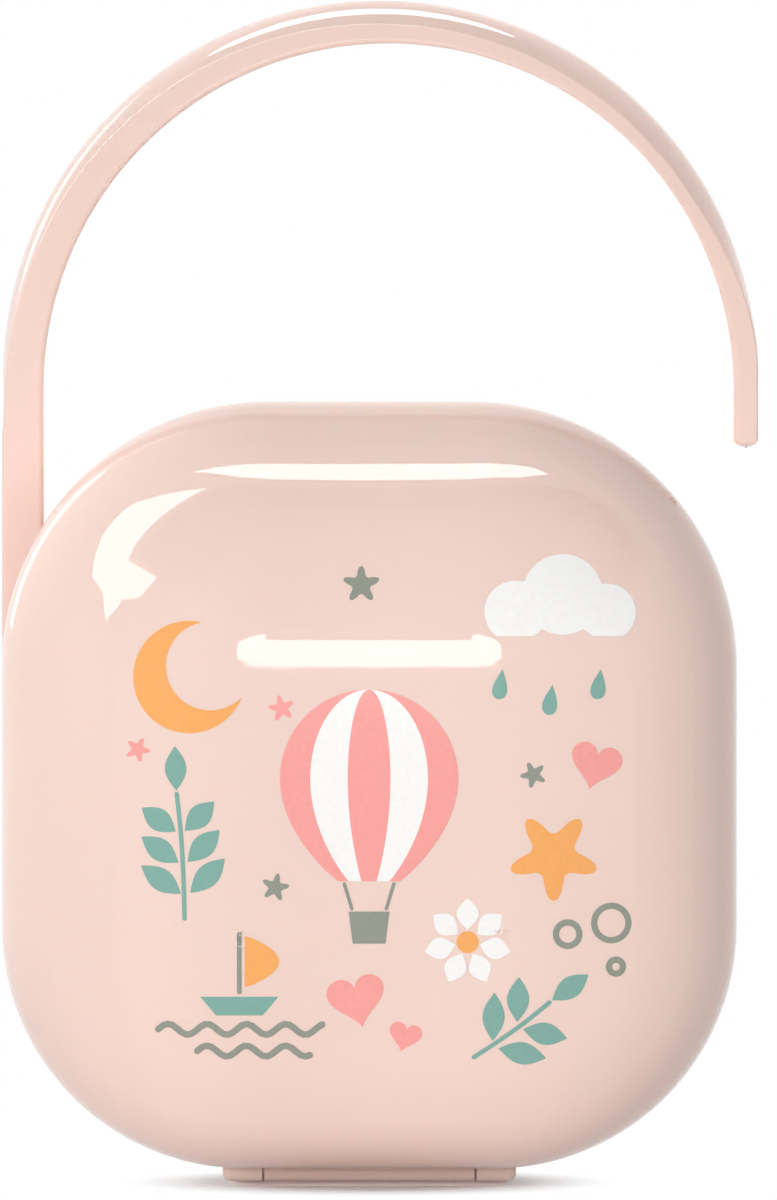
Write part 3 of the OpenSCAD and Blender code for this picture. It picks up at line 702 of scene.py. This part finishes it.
def make_floor():
    """A pale floor with the object's shadow, which the camera sees fade into the white round it.
    It is open under the foot's sole, and clear from below, so that the sole is seen and an open
    cover that hangs below it is lit."""
    mesh = bpy.data.meshes.new("floor")
    corners = [(-1, -1), (1, -1), (1, 1), (-1, 1)]
    outside = [(FLOOR_HALF * x, FLOOR_HALF * y, 0) for x, y in corners]
    under_foot = [(SOLE_HALF[0] * x, SOLE_HALF[1] * y, 0) for x, y in corners]
    sides = [(i, (i + 1) % 4, (i + 1) % 4 + 4, i + 4) for i in range(4)]
    mesh.from_pydata(outside + under_foot, [], sides)
    floor = bpy.data.objects.new("floor", mesh)
    bpy.context.scene.collection.objects.link(floor)
    material = bpy.data.materials.new("floor_white")
    material.use_nodes = True
    tree = material.node_tree
    tree.nodes.clear()
    link = tree.links.new
    out = tree.nodes.new("ShaderNodeOutputMaterial")
    matt = tree.nodes.new("ShaderNodeBsdfDiffuse")
    matt.inputs["Color"].default_value = (FLOOR_WHITE, FLOOR_WHITE, FLOOR_WHITE, 1)
    clear = tree.nodes.new("ShaderNodeBsdfTransparent")
    place = tree.nodes.new("ShaderNodeTexCoord")
    shrink = tree.nodes.new("ShaderNodeVectorMath")
    shrink.operation = "MULTIPLY"
    shrink.inputs[1].default_value = (1 / SHADOW_HALF[0], 1 / SHADOW_HALF[1], 0)
    reach = tree.nodes.new("ShaderNodeVectorMath")
    reach.operation = "LENGTH"
    fade = tree.nodes.new("ShaderNodeMapRange")
    fade.interpolation_type = "SMOOTHSTEP"
    fade.inputs["From Min"].default_value = FADE_FROM
    fade.inputs["From Max"].default_value = 1.0
    fade.inputs["To Min"].default_value = FLOOR_CLEAR
    clear_share = tree.nodes.new("ShaderNodeMath")
    clear_share.operation = "MAXIMUM"
    share = tree.nodes.new("ShaderNodeMath")
    share.operation = "MULTIPLY"
    blend = tree.nodes.new("ShaderNodeMixShader")
    link(place.outputs["Object"], shrink.inputs[0])
    link(shrink.outputs[0], reach.inputs[0])
    link(reach.outputs["Value"], fade.inputs["Value"])
    link(fade.outputs["Result"], share.inputs[0])
    link(seen_directly(tree, "Is Glossy Ray", "Is Transmission Ray"), share.inputs[1])
    link(share.outputs[0], clear_share.inputs[0])
    link(tree.nodes.new("ShaderNodeNewGeometry").outputs["Backfacing"], clear_share.inputs[1])
    link(clear_share.outputs[0], blend.inputs["Fac"])
    link(matt.outputs[0], blend.inputs[1])
    link(clear.outputs[0], blend.inputs[2])
    link(blend.outputs[0], out.inputs["Surface"])
    mesh.materials.append(material)
    return floor


# The room's strengths.
ROOM_LEFT = 1.0
ROOM_RIGHT = 0.85
ROOM_FRONT = 0.15
ROOM_TOP = 0.35


def make_world():
    """A soft room, brighter to the left and dimmer behind the camera, and white where the camera sees it."""
    world = bpy.data.worlds.new("room")
    bpy.context.scene.world = world
    world.use_nodes = True
    tree = world.node_tree
    back = tree.nodes["Background"]
    back.inputs["Color"].default_value = (1, 1, 1, 1)
    way = tree.nodes.new("ShaderNodeSeparateXYZ")
    tree.links.new(tree.nodes.new("ShaderNodeTexCoord").outputs["Generated"], way.inputs[0])

    def ramp(value, start, end, low, high):
        """A value from start to end, spread smoothly over low to high."""
        node = tree.nodes.new("ShaderNodeMapRange")
        node.interpolation_type = "SMOOTHSTEP"
        node.inputs["From Min"].default_value = start
        node.inputs["From Max"].default_value = end
        node.inputs["To Min"].default_value = low
        node.inputs["To Max"].default_value = high
        tree.links.new(value, node.inputs["Value"])
        return node.outputs["Result"]

    room = ramp(way.outputs["X"], -0.8, 0.8, ROOM_LEFT, ROOM_RIGHT)
    for axis, start, end, low, high in (("Y", -0.7, 0.4, ROOM_FRONT, 1.0), ("Z", 0.2, 0.9, 1.0, ROOM_TOP)):
        both = tree.nodes.new("ShaderNodeMath")
        both.operation = "MULTIPLY"
        tree.links.new(room, both.inputs[0])
        tree.links.new(ramp(way.outputs[axis], start, end, low, high), both.inputs[1])
        room = both.outputs[0]
    level = tree.nodes.new("ShaderNodeMix")
    tree.links.new(seen_directly(tree, "Is Glossy Ray", "Is Transmission Ray"), level.inputs["Factor"])
    tree.links.new(room, level.inputs["A"])
    level.inputs["B"].default_value = 1.0
    tree.links.new(level.outputs["Result"], back.inputs["Strength"])


AIM = Vector((0, -30 * MM, 75 * MM))
HANDLE_TOP = Vector((-60 * MM, 0, 150 * MM))


def softbox(name, azimuth, elevation, width, height, radiance, distance, lights, shape="RECTANGLE", aim=AIM):
    """A softbox seen from the front cover: its middle's direction and its size in degrees, and its
    distance in metres. Azimuth 0 is towards the camera, and positive to the right. It lights
    what is matt, or what is glossy."""
    a, e = math.radians(azimuth), math.radians(elevation)
    towards = Vector((math.sin(a) * math.cos(e), -math.cos(a) * math.cos(e), math.sin(e)))
    data = bpy.data.lights.new(name, "AREA")
    data.shape = shape
    data.size = 2 * distance * math.tan(math.radians(width / 2))
    data.size_y = 2 * distance * math.tan(math.radians(height / 2))
    data.energy = 4 * data.size * data.size_y * radiance
    lamp = bpy.data.objects.new(name, data)
    lamp.location = aim + towards * distance
    lamp.rotation_mode = "QUATERNION"
    lamp.rotation_quaternion = towards.to_track_quat("Z", "Y")
    lamp.visible_camera = False
    lamp.visible_diffuse = lights != "glossy"
    lamp.visible_glossy = lights != "matt"
    bpy.context.scene.collection.objects.link(lamp)
    return lamp


def card(name, places, radiance, distance=0.5, shades=False):
    """A flat card before the front cover. The camera sees it mirrored in the cover, within the outline
    through some places there, in millimetres. Its radiance is given at its top and at its bottom.
    It can also shade the case from the room."""
    eye = bpy.context.scene.camera.location
    rays = []
    for x, z in places:
        point, normal = on_cover(x, z)
        rays.append((point, (point - eye).normalized().reflect(normal)))
    facing = sum((way for _, way in rays), Vector()).normalized()
    middle = sum((point for point, _ in rays), Vector()) / len(rays) + facing * distance
    corners = [point + way * ((middle - point).dot(facing) / way.dot(facing)) for point, way in rays]
    mesh = bpy.data.meshes.new(name)
    mesh.from_pydata(corners, [], [range(len(corners))])
    piece = bpy.data.objects.new(name, mesh)
    bpy.context.scene.collection.objects.link(piece)
    material = bpy.data.materials.new(name)
    material.use_nodes = True
    tree = material.node_tree
    tree.nodes.clear()
    glow = tree.nodes.new("ShaderNodeEmission")
    height = tree.nodes.new("ShaderNodeSeparateXYZ")
    level = tree.nodes.new("ShaderNodeMapRange")
    level.inputs["To Min"].default_value = radiance[1]
    level.inputs["To Max"].default_value = radiance[0]
    tree.links.new(tree.nodes.new("ShaderNodeTexCoord").outputs["Generated"], height.inputs[0])
    tree.links.new(height.outputs["Z"], level.inputs["Value"])
    tree.links.new(level.outputs["Result"], glow.inputs["Strength"])
    tree.links.new(glow.outputs[0], tree.nodes.new("ShaderNodeOutputMaterial").inputs["Surface"])
    mesh.materials.append(material)
    piece.visible_camera = False
    piece.visible_diffuse = shades
    piece.visible_shadow = shades


FLAG_Y, FLAG_HALF_W, FLAG_H = -130, 160, 8


def make_low_flag():
    """A dark board that stands on the floor before the case and shades its foot."""
    mesh = bpy.data.meshes.new("low_flag")
    low = [(-FLAG_HALF_W, FLAG_Y, 0), (FLAG_HALF_W, FLAG_Y, 0)]
    high = [(FLAG_HALF_W, FLAG_Y, FLAG_H), (-FLAG_HALF_W, FLAG_Y, FLAG_H)]
    mesh.from_pydata([[c * MM for c in corner] for corner in low + high], [], [(0, 1, 2, 3)])
    flag = bpy.data.objects.new("low_flag", mesh)
    bpy.context.scene.collection.objects.link(flag)
    material = bpy.data.materials.new("flag_black")
    material.use_nodes = True
    material.node_tree.nodes["Principled BSDF"].inputs["Base Color"].default_value = (0.02, 0.02, 0.02, 1)
    mesh.materials.append(material)
    flag.visible_camera = False
    flag.visible_glossy = False


# What the front cover mirrors, as outlines on it in millimetres.
FACE_STRIP = [
    (-16.8, 70.8),
    (-16.3, 71.2),
    (-13.0, 71.2),
    (13.0, 71.2),
    (16.3, 71.2),
    (16.8, 70.8),
    (16.8, 68.8),
    (15.5, 67.9),
    (13.0, 67.8),
    (-13.0, 67.8),
    (-15.5, 67.9),
    (-16.8, 68.8),
]
SKY_STRIP = [
    (-22.6, 92.7),
    (-18.5, 93.5),
    (-13.8, 93.8),
    (0.0, 93.8),
    (16.8, 93.8),
    (20.6, 93.4),
    (23.2, 92.5),
    (19.3, 92.0),
    (10.4, 91.8),
    (0.0, 91.7),
    (-10.0, 91.8),
    (-16.6, 92.1),
]
WINDOW = [
    (-20.8, 90.7),
    (-27.2, 89.7),
    (-30.4, 88.7),
    (-32.4, 87.0),
    (-34.2, 84.7),
    (-35.2, 82.0),
    (-35.5, 79.3),
    (-34.1, 77.2),
    (-33.6, 73.5),
    (-32.4, 75.2),
    (-29.3, 76.7),
    (-27.2, 79.2),
    (-30.9, 81.5),
    (-29.8, 83.7),
    (-27.2, 86.6),
    (-24.2, 88.8),
]
DARK_SIDE = [
    (-19.8, 90.5),
    (4.0, 90.6),
    (27.0, 90.3),
    (32.0, 87.3),
    (34.5, 82.8),
    (33.5, 77.6),
    (29.6, 73.8),
    (12.9, 72.5),
    (-8.8, 72.5),
    (-19.0, 75.0),
    (-26.0, 79.0),
    (-29.0, 82.0),
    (-26.8, 86.0),
    (-23.6, 88.5),
]


def light_group(name, pieces, state="INCLUDE"):
    """A group of pieces: a lamp lights only these, or with EXCLUDE all but these."""
    group = bpy.data.collections.new("light_" + name)
    for piece in pieces:
        group.objects.link(piece)
    for member in group.collection_objects:
        member.light_linking.link_state = state
    return group


def make_lights(handle, floor):
    """Soft light from all round, and what the glossy cover and handle mirror."""
    softbox("key_front", -32, 5, 36, 18, 6.6, 1.6, "matt")
    key = softbox("key_case", -32, 5, 36, 18, 1.5, 1.6, "matt")
    softbox("fill_front", 30, 5, 36, 18, 2.1, 1.6, "matt")
    softbox("low_front", 0, -0.6, 70, 4, 1.5, 1.3, "matt")
    top = softbox("top_soft", -170, 50, 80, 40, 3.4, 1.4, "matt")
    over = softbox("handle_soft", 180, 56, 80, 36, 2.6, 1.4, "matt")
    behind = softbox("rear_soft", 180, 20, 70, 30, 1.6, 1.4, "matt")
    softbox("rim_left", -138, 22, 10, 34, 1.5, 1.3, "glossy")
    crest = softbox("handle_crest", 180, 74, 48, 16, 9.0, 1.0, "glossy", "ELLIPSE", HANDLE_TOP)
    edge = softbox("handle_edge", -14, 43, 100, 34, 5.0, 1.0, "glossy", "ELLIPSE", HANDLE_TOP)
    rear = NODES["rear_cover"]
    handle_only = light_group("handle_only", [handle])
    for lamp, group in (
        (crest, handle_only),
        (edge, handle_only),
        (over, handle_only),
        (key, light_group("not_handle", [handle], "EXCLUDE")),
        (top, light_group("front_only", [handle, rear, floor], "EXCLUDE")),
        (behind, light_group("rear_only", [rear])),
    ):
        lamp.light_linking.receiver_collection = group
    card("face_strip", FACE_STRIP, (9.0, 9.0), 0.3)
    card("sky_strip", SKY_STRIP, (10.0, 10.0))
    card("window", WINDOW, (8.5, 8.0))
    card("dark_side", DARK_SIDE, (0.0, 0.8), 0.55, shades=True)
    make_low_flag()


# ---- Camera ----

# The lens and the sensor are in millimetres, and PX is the size of a photograph's pixel.
LENS = 300.0
SENSOR = 36.0
PHOTO_H_PX = 1200
PHOTO_MID_PX = (388.5, 600.0)
MID_X_PX = 369.4
SOLE_PX = 1187.3
PX = 0.13 * MM
OUTLINE_Y = -12 * MM


def make_camera():
    """A level camera with a long lens, set so that the outline's plane has the photograph's scale."""
    data = bpy.data.cameras.new("camera")
    data.lens = LENS
    data.sensor_width = SENSOR
    camera = bpy.data.objects.new("camera", data)
    distance = PHOTO_H_PX * PX * LENS / SENSOR
    camera.location = (
        (PHOTO_MID_PX[0] - MID_X_PX) * PX,
        OUTLINE_Y - distance,
        (SOLE_PX - PHOTO_MID_PX[1]) * PX,
    )
    camera.rotation_euler = (math.radians(90), 0, 0)
    bpy.context.scene.collection.objects.link(camera)
    bpy.context.scene.camera = camera


make_camera()
dress_nodes()
strap = make_handle()
make_print()
ground = make_floor()
make_world()
make_lights(strap, ground)

view = bpy.context.scene.view_settings
view.view_transform = "Standard"
